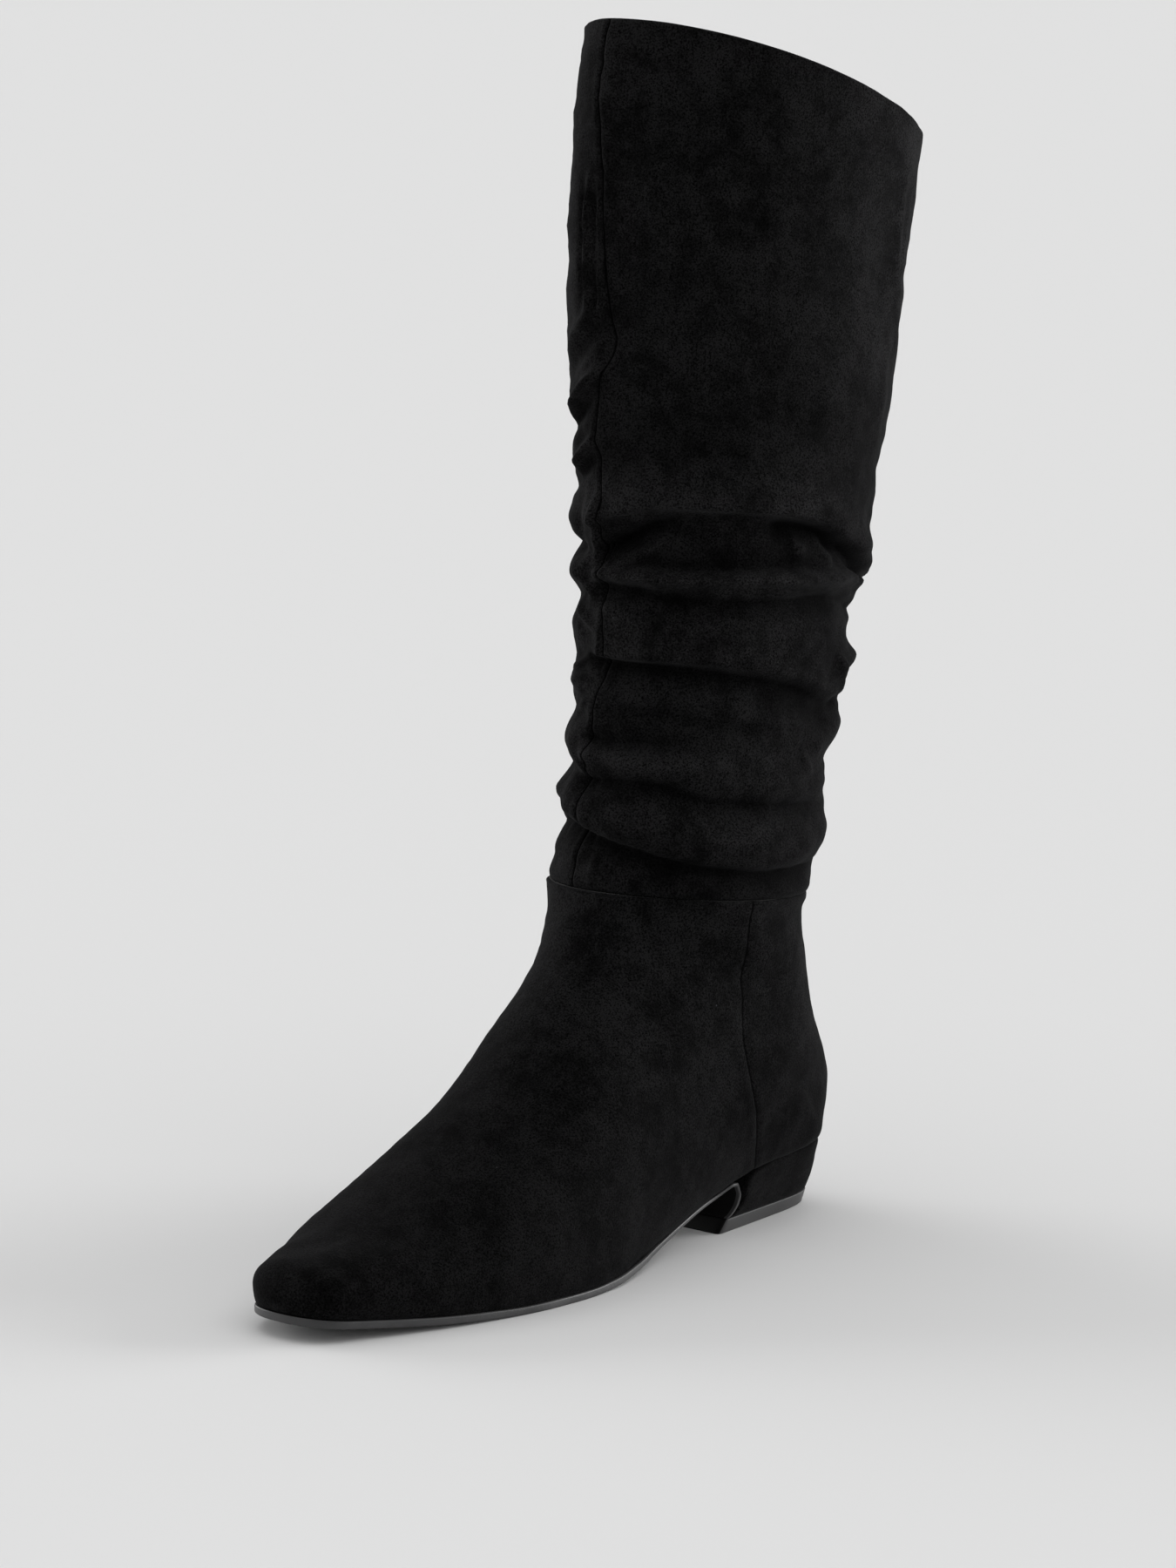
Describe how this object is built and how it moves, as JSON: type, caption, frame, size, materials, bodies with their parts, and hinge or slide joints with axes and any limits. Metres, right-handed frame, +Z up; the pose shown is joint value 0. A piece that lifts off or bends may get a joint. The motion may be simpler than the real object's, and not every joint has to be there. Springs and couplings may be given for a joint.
{
  "type": "slouch boot",
  "caption": "Tall pull-on slouch boot, left foot: suede-look foot with soft square toe, slack folded shaft, thin sole and low covered block heel.",
  "frame": {"origin": "middle of the heel's floor face, on the floor", "axes": "+Z up the shaft, -Y to the toe, +X to the outer side of the left foot"},
  "size_m": [0.0934, 0.2928, 0.4],
  "materials": {
    "suede": "black suede-look nap, matt, mottled where the nap lies differently",
    "sole": "black smooth sole material, satin",
    "lining": "dark woven lining, matt"
  },
  "bodies": {
    "root": {"upper": "suede", "shaft": "suede", "outsole": "sole", "heel_block": "suede", "top_lift": "sole", "insole": "lining"}
  },
  "joints": []
}
